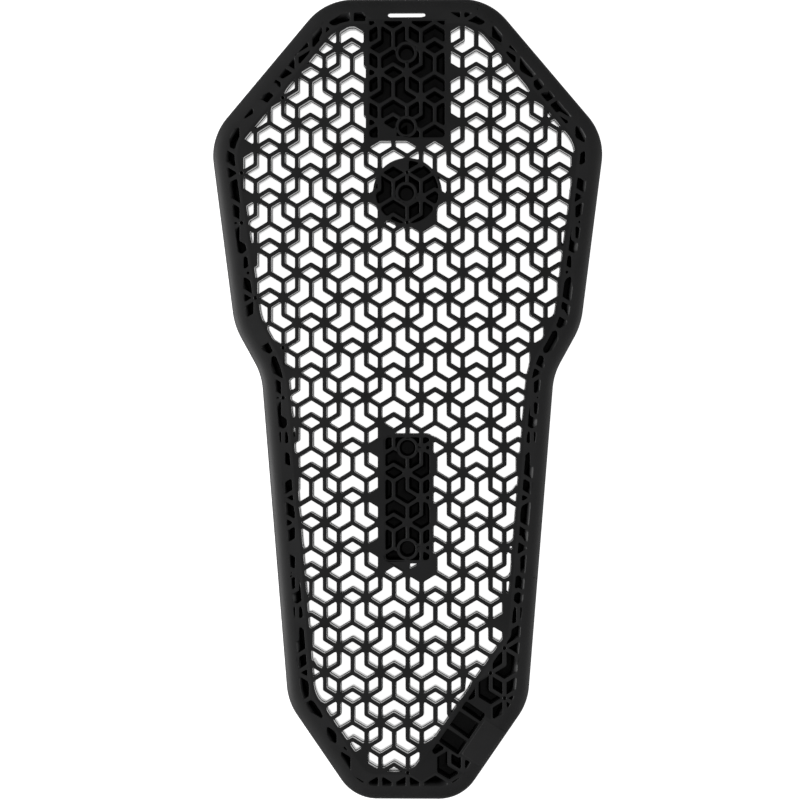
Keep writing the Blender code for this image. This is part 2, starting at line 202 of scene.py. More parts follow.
def depth_in(points, loop):
    """How deep each point lies in a closed path: its distance to the path, below zero outside.

    A point is inside where a level line from it crosses the path an odd number of times."""
    following = np.roll(loop, -1, 0)
    run = following - loop
    offset = points[:, None] - loop
    share = np.clip(dot(offset, run) / np.maximum(dot(run, run), 1e-18), 0, 1)
    distance = np.linalg.norm(offset - share[..., None] * run, axis=-1).min(1)
    above = loop[:, 1] > points[:, 1:2]
    crosses = above != (following[:, 1] > points[:, 1:2])
    rise = np.where(run[:, 1] == 0, 1e-18, run[:, 1])
    beyond = points[:, :1] < loop[:, 0] + offset[..., 1] * run[:, 0] / rise
    return np.where((crosses & beyond).sum(1) % 2 == 1, distance, -distance)


def way_out(points, loop):
    """The unit vector from each point to the nearest place on a closed path."""
    run = np.roll(loop, -1, 0) - loop
    offset = points[:, None] - loop
    share = np.clip(dot(offset, run) / dot(run, run), 0, 1)
    nearest = loop + share[..., None] * run
    which = np.linalg.norm(points[:, None] - nearest, axis=-1).argmin(1)
    return unit(nearest[np.arange(len(points)), which] - points)


def outside_of(ribs, loop):
    """The parts of straight ribs outside a convex anticlockwise path.

    Each side of the path cuts a rib at the share where its distance to that side is nought."""
    loop = np.asarray(loop)
    normals = -left_of(unit(np.roll(loop, -1, 0) - loop))
    away = ((ribs[:, :, None] - loop) * normals).sum(-1)
    first, last = away[:, 0], away[:, 1]
    share = first / np.where(first == last, 1e-18, first - last)
    enter = np.where((first > 0) & (last <= 0), share, np.where((first > 0) & (last > 0), 2, 0)).max(1)
    leave = np.where((first <= 0) & (last > 0), share, 1).min(1)
    hit = enter < leave - 1e-4
    run = ribs[:, 1] - ribs[:, 0]
    before = np.stack([ribs[:, 0], ribs[:, 0] + run * enter[:, None]], 1)[hit & (enter > 1e-4)]
    after = np.stack([ribs[:, 0] + run * leave[:, None], ribs[:, 1]], 1)[hit & (leave < 1 - 1e-4)]
    return np.concatenate([ribs[~hit], before, after])


# The pad's own lines

def side_corners(pad):
    """The outline's sharp corners: (half width by shoulder width, height by length, radius by corner)."""
    return np.array([
        (0.2065, 0.5000, 1.00),
        (0.5000, 0.3278, 1.00),
        (0.4389, 0.0920, 1.25),
        (0.3704, 0.0305, 1.07),
        (0.3038, -0.3789, 1.01),
        (0.1358, -0.5000, 0.74),
    ]) * (pad.shoulder, pad.length, pad.corner)


def outline(pad, inset, corner_inset=None, step=1.5 * MM):
    """The pad's edge moved inwards, by another amount at the label's side if asked.

    Each corner goes where its two sides meet once moved, and its radius shrinks or grows by the inset."""
    side = side_corners(pad)
    loop = np.concatenate([side * (-1, 1, 1), side[::-1]])
    corners, radii = loop[:, :2], loop[:, 2]
    insets = np.full(len(loop), inset)
    if corner_inset is not None:
        insets[len(side)] = corner_inset
    leaving = unit(np.roll(corners, -1, 0) - corners)
    normals = left_of(leaving)
    pairs = np.stack([np.roll(normals, 1, 0), normals], 1)
    before = np.roll(insets, 1)
    reach = (pairs * corners[:, None]).sum(-1) + np.stack([before, insets], 1)
    moved = np.linalg.solve(pairs, reach[..., None])[..., 0]
    convex = cross(np.roll(leaving, 1, 0), leaving) > 0
    shrunk = np.maximum(radii - np.maximum(before, insets), 2 * MM)
    return rounded_path(moved, np.where(convex, shrunk, radii + inset), step)


def label_box(pad, start, end, near, far):
    """A box beside the label's edge: its run along the edge from the hem's corner, and its insets."""
    hem, bottom = side_corners(pad)[-2:, :2]
    along = unit(bottom - hem)
    inwards = -left_of(along)
    places = ((start, near), (start, far), (end, far), (end, near))
    box = np.array([hem + along * run + inwards * inset for run, inset in places])
    return box if cross(box[1] - box[0], box[2] - box[1]) > 0 else box[::-1]


def hub_sites(pad, lattice):
    """(column, row, place) of every hub: columns are half a pitch apart, rows run down the pad."""
    rows = np.arange(-16, 25)
    columns = np.arange(-16, 17)
    column, row = np.meshgrid(columns, rows)
    kept = (column + row) % 2 == 0
    column, row = column[kept], row[kept]
    return column, row, np.stack([column * lattice.pitch / 2, lattice.rise - row * lattice.row], 1)


def lattice_ribs(pad, lattice):
    """Both ends of every rib: six leave a hub a sixth of a turn apart, but every third hub of a row
    lacks each second one."""
    column, row, places = hub_sites(pad, lattice)
    across = np.array([0, -1 / 2, -1 / 2, 0, 1 / 2, 1 / 2]) * lattice.pitch
    along = np.array([2, 1, -1, -2, -1, 1]) / 3 * lattice.row
    starts = np.repeat(places[:, None], 6, 1)
    ribs = np.stack([starts, starts + np.stack([across, along], 1)], 2)
    bare = ((column - 3 * row - 2) % 6 == 0)[:, None] & (np.arange(6) % 2 == 1)
    return ribs[~bare]


# The plan: centre lines, the cells between them, and each cell's gap

IGNORED = -9 * MM
NEAR = 0.02 * MM
RIB_SHARES = np.array([0, 0.11, 0.26, 0.5, 0.74, 0.89, 1])
NEAR_BOSS = np.linspace(0, 1, 19)


class Plan:
    """Centre lines on the pad's plan, each with half its rib's width."""

    def __init__(self):
        self.points, self.edges, self.half, self.count = [], [], [], 0

    def draw(self, path, half, closed=True):
        """Adds one path of points, or many open ones of equal length."""
        path = np.asarray(path)
        index = self.count + np.arange(path[..., 0].size).reshape(path.shape[:-1])
        ends = np.roll(index, -1, -1)
        if not closed:
            index, ends = index[..., :-1], ends[..., :-1]
        self.points.append(path.reshape(-1, 2))
        self.edges.append(np.stack([index.ravel(), ends.ravel()], 1))
        self.half.append(np.full(index.size, half))
        self.count += path[..., 0].size

    def cut(self):
        """Crosses all the lines with each other and keeps the closed cells between them."""
        points = [Vector(p) for p in np.concatenate(self.points).tolist()]
        made = delaunay_2d_cdt(points, np.concatenate(self.edges).tolist(), [], 3, 1e-6)
        self.places = np.array([tuple(v) for v in made[0]])
        ends = np.sort(np.array(made[1]), 1)
        half = np.concatenate(self.half)
        widest = np.array([half[list(sources)].max() for sources in made[4]])
        loops = [f for f in made[2] if len(f) > 2 and len(set(f)) == len(f)]
        self.counts = np.array([len(f) for f in loops])
        most = self.counts.max()
        self.loops = np.array([list(f) + [f[0]] * (most - len(f)) for f in loops])
        self.real = np.arange(most) < self.counts[:, None]
        self.following = (np.arange(most) + 1) % self.counts[:, None]
        self.following[~self.real] = 0
        ring = self.places[self.loops]
        after = np.take_along_axis(self.loops, self.following, 1)
        self.after = np.where(self.real, after, self.loops)
        self.area = cross(ring, self.places[self.after]).sum(1) / 2
        if (self.area < 0).any():
            raise RuntimeError("a cell runs clockwise")
        keys = ends[:, 0] * len(self.places) + ends[:, 1]
        order = keys.argsort()
        pair = np.sort(np.stack([self.loops, self.after], -1), -1)
        at = np.searchsorted(keys[order], pair[..., 0] * len(self.places) + pair[..., 1])
        at = order[np.minimum(at, len(order) - 1)]
        self.widths = np.where(self.real, widest[at], IGNORED)
        return self

    def within(self, loop):
        """Which cells lie wholly in a closed path."""
        depth = depth_in(self.places, loop)
        return np.where(self.real, depth[self.loops], 1).min(1) > -NEAR


class Gaps:
    """The gaps of some cells: rings round each cell's middle where its clearance has a given value."""

    def __init__(self, plan, chosen, fillet, run_in):
        self.fillet = fillet
        most = plan.counts[chosen].max()
        self.real, self.following = plan.real[chosen, :most], plan.following[chosen, :most]
        self.start = plan.places[plan.loops[chosen, :most]]
        self.run = plan.places[plan.after[chosen, :most]] - self.start
        self.squared = np.maximum(dot(self.run, self.run), 1e-18)
        self.ways = self.run / np.sqrt(self.squared)[..., None]
        self.normal = left_of(self.ways)
        self.base = plan.widths[chosen, :most]
        self.back = np.where(
            np.arange(self.real.shape[1]) == 0, self.real.sum(1)[:, None] - 1,
            np.arange(self.real.shape[1]) - 1,
        )
        before = np.take_along_axis(self.ways, self.back[..., None], 1)
        self.bend = np.arctan2(cross(before, self.ways), dot(before, self.ways))
        self.cornered = self.real & (self.bend > 0.3)
        self.before = left_of(before)
        self.centre = self.middles()
        room = dot(self.centre[:, None] - self.start, self.normal) - self.base - 0.4 * MM
        self.run_in = np.clip(room, 0, run_in[chosen, :most])

    def middles(self):
        """The point of each cell that sees all its edge and lies furthest inside every side."""
        low = np.where(self.real[..., None], self.start, np.inf).min(1)
        high = np.where(self.real[..., None], self.start, -np.inf).max(1)
        middle, reach = (low + high) / 2, (high - low) / 2
        grid = np.linspace(-1, 1, 13)
        grid = np.stack(np.meshgrid(grid, grid), -1).reshape(-1, 2)
        for _ in range(4):
            tries = middle[:, None] + grid * reach[:, None]
            away = ((tries[:, :, None] - self.start[:, None]) * self.normal[:, None]).sum(-1)
            away = np.where(self.real[:, None], np.minimum(away - self.base[:, None], away * 3), 1)
            middle = tries[np.arange(len(tries)), away.min(-1).argmax(1)]
            reach = reach / 5
        return middle

    def clearance(self, points, lean):
        """Distance to the nearest rib less half its width, with a fillet in each corner. A side that
        leans has run inwards by a share of its run.

        Near a corner, u and v are the fillet's radius less the distance to each side. Inside the
        fillet's sector the clearance is the radius less the length of the vector with those parts."""
        half = self.base + self.run_in * lean
        offset = points[:, :, None] - self.start[:, None]
        share = np.clip(dot(offset, self.run[:, None]) / self.squared[:, None], 0, 1)
        straight = np.linalg.norm(offset - share[..., None] * self.run[:, None], axis=-1)
        nearest = (straight - half[:, None]).min(-1)
        behind = np.take_along_axis(half, self.back, 1)
        u = self.fillet - dot(offset, self.before[:, None]) + behind[:, None]
        v = self.fillet - dot(offset, self.normal[:, None]) + half[:, None]
        cosine, sine = np.cos(self.bend)[:, None], np.sin(self.bend)[:, None]
        sector = self.cornered[:, None] & (u > v * cosine) & (v > u * cosine)
        length = np.sqrt(np.maximum(u * u + v * v - 2 * u * v * cosine, 0))
        curved = self.fillet - length / np.where(abs(sine) < 0.05, 1, sine)
        return np.minimum(nearest, np.where(sector, curved, 1).min(-1))

    def deepest(self, lean=0.0):
        return self.clearance(self.centre[:, None], lean)[:, 0]

    def ring(self, level, lean=0.0):
        """The points on the spokes to the cell's edge where the clearance falls to the level,
        found by halving the spoke again and again."""
        level = np.minimum(level, 0.7 * self.deepest(lean))[:, None]
        spokes = self.start - self.centre[:, None]
        low, high = np.zeros(self.real.shape), np.ones(self.real.shape)
        for _ in range(15):
            middle = (low + high) / 2
            above = self.clearance(self.centre[:, None] + spokes * middle[..., None], lean) > level
            low, high = np.where(above, middle, low), np.where(above, high, middle)
        return self.centre[:, None] + spokes * low[..., None]


class Surface:
    """Faces gathered by their corners, each (x, y, z, tone), and joined where the corners meet."""

    def __init__(self):
        self.corners = {3: [], 4: []}

    def add(self, *corners):
        """Faces from arrays of corner points, one array for each corner, anticlockwise."""
        corners = np.broadcast_arrays(*corners)
        self.corners[len(corners)].append(np.stack(corners, -2).reshape(-1, len(corners), 4))

    def rings(self, rings, real=None, following=None):
        """Quads between each ring and the next; a ring's points are joined to those that follow them."""
        real = np.ones(rings[0].shape[:-1], bool) if real is None else real
        for upper, lower in zip(rings, rings[1:]):
            if following is None:
                far_upper, far_lower = np.roll(upper, -1, -2), np.roll(lower, -1, -2)
            else:
                far_upper, far_lower = (
                    np.take_along_axis(ring, following[..., None], 1) for ring in (upper, lower)
                )
            self.add(upper[real], far_upper[real], far_lower[real], lower[real])

    def build(self, name, material):
        """Joins corners under a micron apart, drops faces that have lost a side, and makes the mesh."""
        threes = np.concatenate(self.corners[3] or [np.zeros((0, 3, 4))])
        fours = np.concatenate(self.corners[4] or [np.zeros((0, 4, 4))])
        points = np.concatenate([threes.reshape(-1, 4), fours.reshape(-1, 4)])
        whole = np.round(points[:, :3] * 1e6).astype(np.int64) + (1 << 20)
        keys = (whole[:, 0] << 42) + (whole[:, 1] << 21) + whole[:, 2]
        _, first, index = np.unique(keys, return_index=True, return_inverse=True)
        index = index.reshape(-1)
        threes = index[:len(threes) * 3].reshape(-1, 3)
        fours = index[len(threes) * 3:].reshape(-1, 4)
        same = fours == np.roll(fours, -1, 1)
        whole_fours = fours[same.sum(1) == 0]
        short = fours[same.sum(1) == 1]
        if len(short):
            keep = ~same[same.sum(1) == 1]
            threes = np.concatenate([threes, short[keep].reshape(-1, 3)])
        threes = threes[(threes != np.roll(threes, -1, 1)).all(1)]
        mesh = bpy.data.meshes.new(name)
        loops = np.concatenate([threes.ravel(), whole_fours.ravel()])
        sizes = np.repeat([3, 4], [len(threes), len(whole_fours)])
        mesh.vertices.add(len(first))
        mesh.vertices.foreach_set("co", points[first, :3].astype(np.float32).ravel())
        mesh.loops.add(len(loops))
        mesh.loops.foreach_set("vertex_index", loops.astype(np.int32))
        mesh.polygons.add(len(sizes))
        mesh.polygons.foreach_set("loop_start", np.concatenate([[0], np.cumsum(sizes)[:-1]]).astype(np.int32))
        mesh.polygons.foreach_set("use_smooth", np.ones(len(sizes), bool))
        tone = mesh.attributes.new("tone", "FLOAT", "POINT")
        tone.data.foreach_set("value", points[first, 3].astype(np.float32))
        mesh.update(calc_edges=True)
        mesh.validate()
        mesh.set_sharp_from_angle(angle=math.radians(50))
        mesh.materials.append(material)
        piece = bpy.data.objects.new(name, mesh)
        bpy.context.scene.collection.objects.link(piece)
        weighted = piece.modifiers.new("Weighted Normal", "WEIGHTED_NORMAL")
        weighted.keep_sharp = True
        return piece


def lifted(points, height, tone):
    """Plan points at a height, with a tone."""
    full = np.zeros((*points.shape[:-1], 4))
    full[..., :2], full[..., 2], full[..., 3] = points, height, tone
    return full


# Tones along a profile, from the front to the rear face: the shaders paint shade with them, darker towards
# DEEP and REAR, and make WALL tones glossier
FRONT, EDGE, WALL, SEAM, DEEP, REAR = 0.0, 0.15, 0.4, 0.55, 0.8, 1.0


def add_cells(surface, made, chosen, blind=True, least=0.25 * MM, trim=0):
    """Carries a profile round the gap of each chosen cell, from the shared centre lines at the front.

    A through gap goes down by a draughted wall, with a seam half way, and back to the centre lines
    at the rear. A blind pocket ends in a floor with a rounded foot. A cell with less clearance than
    the least is flat."""
    plan, pad, lattice = made.plan, made.pad, made.lattice
    high, deep = pad.thickness, pad.thickness - pad.floor
    chosen = np.flatnonzero(chosen)
    open_cells = Gaps(plan, chosen, lattice.fillet, made.run_in).deepest() > least
    for filled in (False, True):
        kept = chosen[open_cells != filled]
        if not len(kept):
            continue
        gaps = Gaps(plan, kept, lattice.fillet, made.run_in)
        real, following = gaps.real, gaps.following
        edge = gaps.start
        rear = made.foot[plan.loops[kept, :edge.shape[1]]]
        middle = gaps.centre[:, None] + 0 * edge
        rings = [lifted(edge, high, FRONT)]
        if filled:
            rings.append(lifted(middle, high, FRONT))
        elif blind:
            # A pocket's rings run to the DEEP tone at its floor, which paints shade there
            rings += [
                lifted(gaps.ring(level - trim, lean), high - depth, tone)
                for level, lean, depth, tone in (
                    (-0.22 * MM, 0, 0, FRONT), (-0.04 * MM, 0, 0.07 * MM, EDGE),
                    (0.03 * MM, 0.16, 0.35 * MM, EDGE), (0.08 * MM, 0.45, 1.2 * MM, EDGE),
                    (0.12 * MM, 0.7, 2.6 * MM, WALL), (0.2 * MM, 0.88, 0.4 * deep, WALL),
                    (0.3 * MM, 0.98, deep - 1.1 * MM, DEEP), (0.6 * MM, 1, deep - 0.3 * MM, DEEP),
                    (1.2 * MM, 1, deep, DEEP),
                )
            ]
            rings.append(lifted(middle, pad.floor, DEEP))
        else:
            parting, ledge = lattice.parting, lattice.draft + lattice.ledge
            rings += [
                lifted(gaps.ring(level), height, tone) for level, height, tone in (
                    (-0.2 * MM, high, FRONT), (-0.03 * MM, high - 0.07 * MM, EDGE),
                    (0.01 * MM, high - 0.28 * MM, WALL), (lattice.draft, parting + 0.06 * MM, WALL),
                    (ledge, parting, SEAM), (ledge, parting - 0.2 * MM, WALL),
                    (ledge - 0.15 * MM, 0.2 * MM, WALL), (ledge - 0.4 * MM, 0, REAR),
                )
            ]
            rings.append(lifted(rear, 0, REAR))
        rings = [made.sunk(ring) for ring in rings]
        surface.rings(rings, real, following)
        if filled or blind:
            surface.rings([lifted(middle, 0, REAR), lifted(rear, 0, REAR)], real, following)


def close_sides(surface, made, chosen, open_flange=False):
    """Walls under the centre lines where the chosen cells end, but for the flange's line if asked."""
    plan, foot, high = made.plan, made.foot, made.high
    real = plan.real & chosen[:, None]
    start, end = plan.loops[real], plan.after[real]
    count = len(plan.places)
    bare = ~np.isin(end * count + start, start * count + end)
    if open_flange:
        bare &= ~(made.on_flange[start] & made.on_flange[end])
    start, end = start[bare], end[bare]
    tops = (lifted(plan.places[end], high, FRONT), lifted(plan.places[start], high, FRONT))
    surface.add(*tops, lifted(foot[start], 0, REAR), lifted(foot[end], 0, REAR))


# The whole plan of this pad, worked out once for all its pieces

PIN_PLACES = (
    (-9, -9), (-12, -6), (-12, -4), (-11, -1), (-9, 1), (-9, 3),
    (7, 13), (6, 14), (7, 15), (0, 18), (0, -6), (0, -4),
)


class PadPlan:
    """The pad's cells, sorted into the places that they belong to."""

    def __init__(self, scene):
        self.pad, self.lattice, self.panels = scene.pad_sizes, scene.lattice_sizes, scene.panel_sizes
        pad, lattice, panels = self.pad, self.lattice, self.panels
        self.high = pad.thickness
        self.edge = outline(pad, 0)
        self.flange_line = outline(pad, pad.flange)
        self.wall_line = outline(pad, lattice.wall_inset, lattice.corner_inset)
        wall_top, top = self.wall_line[:, 1].max(), pad.length / 2 - 11.4 * MM
        half_top, half_low = panels.top_width / 2, panels.lower_width / 2
        beside = (abs(self.wall_line[:, 0]) < half_top) & (self.wall_line[:, 1] > 0)
        last = np.flatnonzero(beside)[-1] + 1
        self.wall_path = np.roll(self.wall_line, -last, 0)[:np.count_nonzero(~beside)]
        self.wall_path = np.concatenate([
            [(-half_top, wall_top)], self.wall_path, [(half_top, wall_top)],
        ])
        self.wall_line = np.concatenate([[(-half_top, top)], self.wall_path, [(half_top, top)]])
        self.top_loop = rounded_path(
            [(half_top, top), (-half_top, top), (-half_top, panels.top_end), (half_top, panels.top_end)],
            [0.01 * MM, 0.01 * MM, panels.radius, panels.radius], 1.5 * MM,
        )
        self.lower_loop = rounded_path(
            [(half_low, -panels.lower_top), (-half_low, -panels.lower_top),
             (-half_low, -panels.lower_end), (half_low, -panels.lower_end)],
            panels.radius, 1.5 * MM,
        )
        self.hub_centre = np.array((0, panels.hub_rise))
        self.hub_loop = circle_path(self.hub_centre, panels.hub_radius, 72)
        self.bosses = {
            "top_boss_upper": np.array((-0.4 * MM, panels.top_end + 47.9 * MM)),
            "top_boss_lower": np.array((-0.4 * MM, panels.top_end + 6.9 * MM)),
            "lower_boss_upper": np.array((0, -panels.lower_top - 6.8 * MM)),
            "lower_boss_lower": np.array((0, -panels.lower_end + 7.0 * MM)),
            "hub_ring": self.hub_centre + (-0.6 * MM, -0.4 * MM),
        }
        self.label = label_box(pad, 19.4 * MM, 44.8 * MM, 0.9 * MM, 14.9 * MM)
        self.ladder = label_box(pad, 17.9 * MM, 46.2 * MM, 14.9 * MM, lattice.corner_inset)
        tab_top = pad.length / 2 - pad.flange
        self.tab = np.array([
            (-19.4 * MM, top), (16.6 * MM, top), (21.7 * MM, tab_top), (-24.2 * MM, tab_top),
        ])
        self.tab_reach = 14 * MM
        self.sink_radius = (panels.boss_radius + panels.boss_bore) / 2
        self.plan = self.drawn()
        self.sort()

    def drawn(self):
        pad, lattice, panels = self.pad, self.lattice, self.panels
        plan = Plan()
        ribs = lattice_ribs(pad, lattice)
        for box in (self.label, self.ladder, self.tab):
            ribs = outside_of(ribs, box)
        run = (ribs[:, 1] - ribs[:, 0])[:, None]
        centres = np.array(list(self.bosses.values()))
        away = np.linalg.norm(ribs.mean(1)[:, None] - centres, axis=-1).min(1)
        for close, shares in ((away < 12 * MM, NEAR_BOSS), (away >= 12 * MM, RIB_SHARES)):
            plan.draw(ribs[close, :1] + run[close] * shares[:, None], lattice.rib / 2, closed=False)
        plan.draw(self.flange_line, 0.35 * MM)
        plan.draw(self.wall_path, lattice.wall / 2, closed=False)
        plan.draw(self.top_loop, panels.frame / 2)
        plan.draw(self.lower_loop, panels.frame / 2)
        plan.draw(self.hub_loop, 0.8 * MM)
        plan.draw(sided_path(self.label, 2 * MM), 0.4 * MM)
        plan.draw(sided_path(self.ladder, 2 * MM), 0.7 * MM)
        plan.draw(sided_path(self.tab, 2 * MM), 0.35 * MM)
        for along in (24.05 * MM, 35.85 * MM):
            rung = label_box(pad, along, along + 1 * MM, 14.9 * MM, lattice.corner_inset)
            plan.draw(rung[:2], 0.85 * MM, closed=False)
        column, row, places = hub_sites(pad, lattice)
        pins = np.isin(column * 100 + row, [c * 100 + r for c, r in PIN_PLACES])
        self.pins = places[pins]
        for place in self.pins:
            plan.draw(circle_path(place, 1.2 * MM, 14), IGNORED)
        return plan.cut()

    def sunk(self, ring):
        """The ring with its points inside a boss let down to the floor."""
        centres = np.array(list(self.bosses.values()))
        away = np.linalg.norm(ring[..., None, :2] - centres, axis=-1).min(-1)
        floor = self.pad.floor - 0.2 * MM
        ring[..., 2] = np.where((away < self.sink_radius) & (ring[..., 2] > floor), floor, ring[..., 2])
        return ring

    def sort(self):
        """Marks each cell by the place it lies in, and the points on the flange's line."""
        plan, pad = self.plan, self.pad
        within = plan.within(self.flange_line)
        window = within & plan.within(self.wall_line)
        gone = np.zeros_like(within)
        for loop in (self.label, self.tab):
            gone |= plan.within(loop)
        self.label_cells = within & plan.within(self.label)
        for place in self.pins:
            gone |= plan.within(circle_path(place, 1.2 * MM, 14))
        top, lower, hub = (plan.within(loop) for loop in (self.top_loop, self.lower_loop, self.hub_loop))
        self.cells = {
            "top_panel": top & ~gone, "lower_panel": lower & ~gone, "hub_plate": hub & ~gone,
            "lattice_core": window & ~top & ~lower & ~hub & ~gone,
        }
        outside = within & ~window & ~gone
        sums = np.where(plan.real[..., None], plan.places[plan.loops], 0).sum(1)
        corner = label_box(pad, 2 * MM, 63 * MM, 14.6 * MM, self.lattice.corner_inset + 1 * MM)
        self.cells["corner_panel"] = outside & (depth_in(sums / plan.counts[:, None], corner) > 0)
        self.cells["rim"] = outside & ~self.cells["corner_panel"]
        depth = depth_in(plan.places, self.flange_line)
        self.on_flange = abs(depth) < NEAR
        outwards = np.zeros_like(plan.places)
        outwards[self.on_flange] = way_out(plan.places[self.on_flange], self.edge)
        self.outwards = outwards
        base = pad.lip + pad.skirt_run - pad.flange
        self.foot = plan.places - outwards * base
        flange_edge = self.on_flange[plan.loops] & self.on_flange[plan.after] & plan.real
        self.run_in = np.where(flange_edge, pad.groove_run, 0)


# Shader maths on sockets

class Value:
    """A node's output that can be added, multiplied and compared in an expression."""

    def __init__(self, nodes, socket):
        self.nodes, self.socket = nodes, socket

    def _math(self, operation, *values):
        return self.nodes.node("ShaderNodeMath", {"operation": operation}, dict(enumerate(values)))

    def __add__(self, other):
        return self._math("ADD", self, other)

    def __radd__(self, other):
        return self._math("ADD", other, self)

    def __sub__(self, other):
        return self._math("SUBTRACT", self, other)

    def __rsub__(self, other):
        return self._math("SUBTRACT", other, self)

    def __mul__(self, other):
        return self._math("MULTIPLY", self, other)

    def __rmul__(self, other):
        return self._math("MULTIPLY", other, self)

    def __gt__(self, other):
        return self._math("GREATER_THAN", self, other)

    def clamp(self):
        return self.nodes.node(
            "ShaderNodeMath", {"operation": "ADD", "use_clamp": True}, {0: self, 1: 0.0}
        )


class Shader:
    """A material made of nodes, with one method that adds any of them."""

    def __init__(self, name):
        self.material = bpy.data.materials.new(name)
        self.material.use_nodes = True
        self.tree = self.material.node_tree
        self.tree.nodes.clear()
        self.place = self.node("ShaderNodeTexCoord", output="Object")

    def node(self, kind, settings=None, values=None, output=0):
        """Adds a node: its settings, then its sockets' values or links. Gives one of its outputs."""
        made = self.tree.nodes.new(kind)
        for key, value in (settings or {}).items():
            if key == "stops":
                elements = made.color_ramp.elements
                elements[0].position, elements[1].position = value[0][0], value[-1][0]
                for stop in value[1:-1]:
                    elements.new(stop[0])
                for element, stop in zip(elements, value):
                    element.color = (*(stop[1],) * 3, 1)
            else:
                setattr(made, key, value)
        for key, value in (values or {}).items():
            socket = made.inputs[key]
            if isinstance(value, Value):
                self.tree.links.new(value.socket, socket)
            else:
                socket.default_value = value
        return Value(self, made.outputs[output]) if made.outputs else None

    def noise(self, scale, detail=2.0, roughness=0.5):
        """Noise in the object's own space; the scale is in grains per metre."""
        return self.node(
            "ShaderNodeTexNoise", {"noise_dimensions": "3D"},
            {"Vector": self.place, "Scale": scale, "Detail": detail, "Roughness": roughness}, "Fac",
        )

    def ramp(self, value, *stops):
        """The value passed through a ramp of (position, grey) stops."""
        return self.node("ShaderNodeValToRGB", {"stops": stops}, {"Fac": value}, "Color")

    def mix(self, share, first, second):
        """Colours mixed by a share."""
        made = self.tree.nodes.new("ShaderNodeMix")
        made.data_type = "RGBA"
        for socket, value in ((made.inputs[0], share), (made.inputs[6], first), (made.inputs[7], second)):
            if isinstance(value, Value):
                self.tree.links.new(value.socket, socket)
            elif hasattr(value, "__len__"):
                socket.default_value = (*tuple(value)[:3], 1)
            else:
                socket.default_value = value
        return Value(self, made.outputs[2])

    def attribute(self, name):
        return self.node("ShaderNodeAttribute", {"attribute_name": name}, output="Fac")

    def surface(self, color, roughness, height, relief, specular=0.5):
        """Ends the material: colour, roughness, and a bump of the height's relief in metres."""
        normal = self.node("ShaderNodeBump", None, {"Height": height, "Distance": relief, "Strength": 1.0})
        shaded = self.node("ShaderNodeBsdfPrincipled", None, {
            "Base Color": color, "Roughness": roughness, "Normal": normal,
            "Specular IOR Level": specular,
        })
        self.node("ShaderNodeOutputMaterial", None, {"Surface": shaded})
        return self.material


def elastomer(name, base, gloss, grain, speckle, dust=0.006):
    """Moulded black elastomer: fine grain, faint cloudy mottling, paler dust in the pores, and painted
    shade from a tone along the profile: lighter on the edges, darker in the deep floor of a pocket or bore."""
    shader = Shader(name)
    tone = shader.attribute("tone")
    cloud = shader.noise(38.0, 4.0)
    fine = shader.noise(speckle, 3.0, 0.65)
    pores = shader.ramp(shader.noise(speckle * 0.55, 2.0), (0.0, 0.0), (0.56, 0.0), (0.70, 1.0))
    # Painted shade: the deep tones of a pocket's floor, a bore and the rear face darken the colour to three
    # quarters
    floor_shade = shader.ramp(tone, (0.0, 0.0), (0.6, 0.1), (0.85, 1.0))
    base = tuple(base)
    shade_colour = tuple(c * 0.75 for c in base)
    pale = tuple(c + dust for c in base)
    cloudy = shader.mix(shader.ramp(cloud, (0.3, 0.0), (0.7, 1.0)), tuple(c * 0.82 for c in base), tuple(
        c * 1.18 for c in base))
    coloured = shader.mix(floor_shade, cloudy, shade_colour)
    dusty = shader.mix(pores * 0.5, coloured, pale)
    sides = shader.ramp(tone, (0.0, 0.0), (0.28, 0.0), (0.38, 1.0), (0.46, 1.0), (0.54, 0.0))
    rough = (cloud * 0.14 + fine * 0.10 + (gloss - 0.12) - sides * (gloss - 0.16)).clamp()
    return shader.surface(dusty, rough, fine * 0.7 + cloud * 0.3, grain)


def stage_floor(name, base):
    """Matt pale floor, faintly uneven, that glows like a lit sweep so that the gaps show white."""
    shader = Shader(name)
    shade = shader.mix(shader.noise(3.0), tuple(c * 0.99 for c in base), tuple(base))
    shaded = shader.node("ShaderNodeBsdfPrincipled", None, {
        "Base Color": shade, "Roughness": 0.9, "Emission Color": shade, "Emission Strength": 1.1,
    })
    shader.node("ShaderNodeOutputMaterial", None, {"Surface": shaded})
    return shader.material


# Operators, one for each piece or group of like pieces

PLANS = []


def the_plan(context):
    """The pad's plan, worked out at the first call and kept for the others."""
    if not PLANS:
        PLANS.append(PadPlan(context.scene))
    return PLANS[0]


def settle(piece, node):
    """The piece stands for its CAD node and rides on the pad."""
    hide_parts(node)
    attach(piece, "root")
    return piece


def revolve(surface, centre, profile, count=48):
    """Turns a profile of (radius, height, tone) round an upright axis: each ring is a circle."""
    rings = [lifted(circle_path(centre, radius, count), height, tone) for radius, height, tone in profile]
    surface.rings([ring[None] for ring in rings], following=None)


